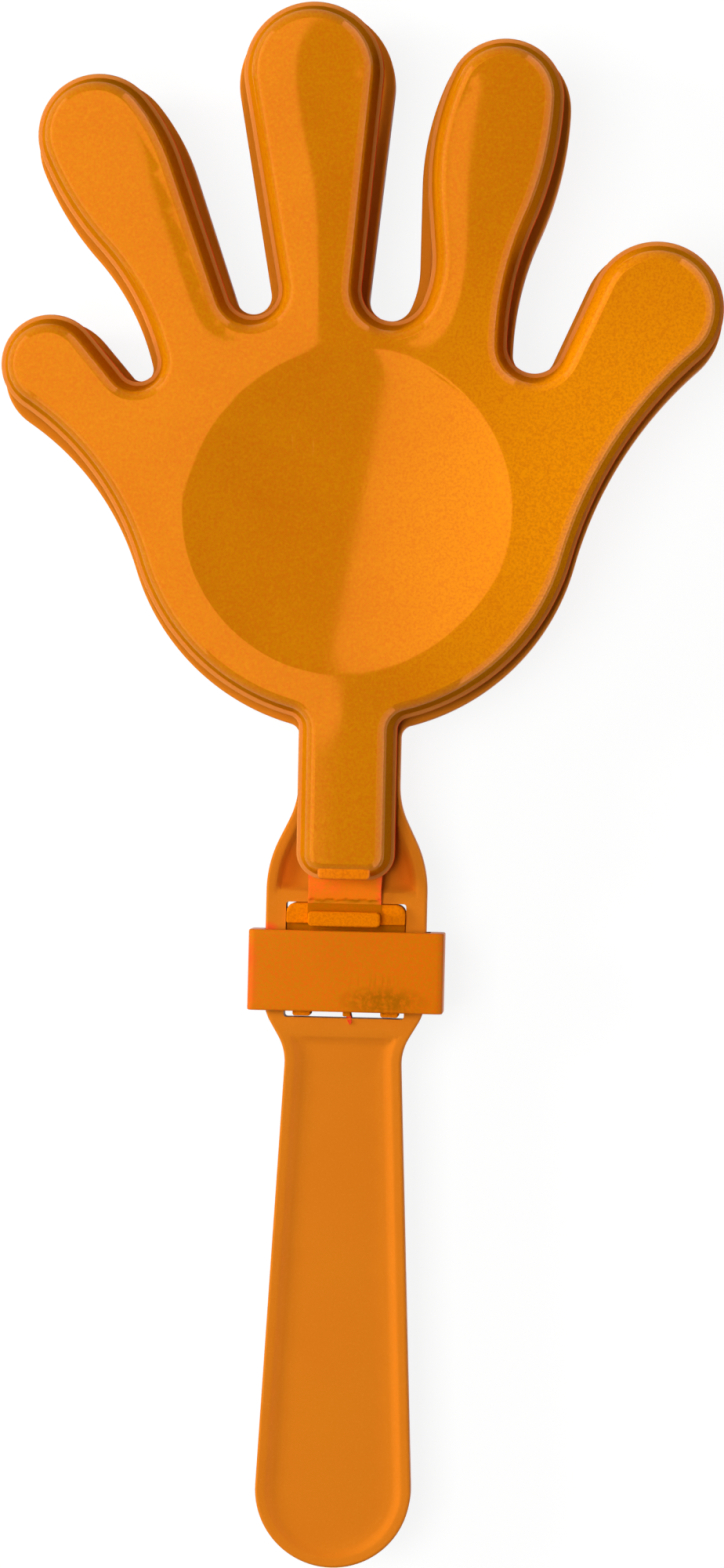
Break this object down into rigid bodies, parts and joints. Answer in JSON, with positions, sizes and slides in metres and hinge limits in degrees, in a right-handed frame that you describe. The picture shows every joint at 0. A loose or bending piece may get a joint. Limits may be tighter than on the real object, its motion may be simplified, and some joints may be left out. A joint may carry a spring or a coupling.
{
  "type": "hand clapper",
  "caption": "Noise maker: a flat hand on a long grip between two hollow clapping hands that swing on thin straps and are held by a sleeve.",
  "frame": {"origin": "middle of the bounding box in X and Y, on the plane that the rear hand's flat face rests on", "axes": "+X across the palm towards the thumb, +Y along the grip towards the fingertips, +Z out of the palm through the front hand"},
  "size_m": [0.1278, 0.2786, 0.0317],
  "materials": {
    "grip_plastic": "satin",
    "sleeve_plastic": "satin",
    "hand_plastic": "glossy"
  },
  "bodies": {
    "handle_body": {"handle": "grip_plastic", "clip_band": "sleeve_plastic", "front_hinge_strap": "hand_plastic", "front_tab": "hand_plastic", "rear_hinge_strap": "hand_plastic", "rear_tab": "hand_plastic"},
    "front_hand_body": {"front_hand": "hand_plastic"},
    "rear_hand_body": {"rear_hand": "hand_plastic"}
  },
  "joints": [
    {"name": "front_hand_swing", "type": "hinge", "parent": "handle_body", "child": "front_hand_body", "pos_m": [0, -0.01853, 0.01385], "axis": [1, 0, 0], "range_deg": [-4, 75], "deforming": ["front_hinge_strap"]},
    {"name": "rear_hand_swing", "type": "hinge", "parent": "handle_body", "child": "rear_hand_body", "pos_m": [0, -0.01853, 0.00715], "axis": [-1, 0, 0], "range_deg": [0, 75], "deforming": ["rear_hinge_strap"]}
  ]
}
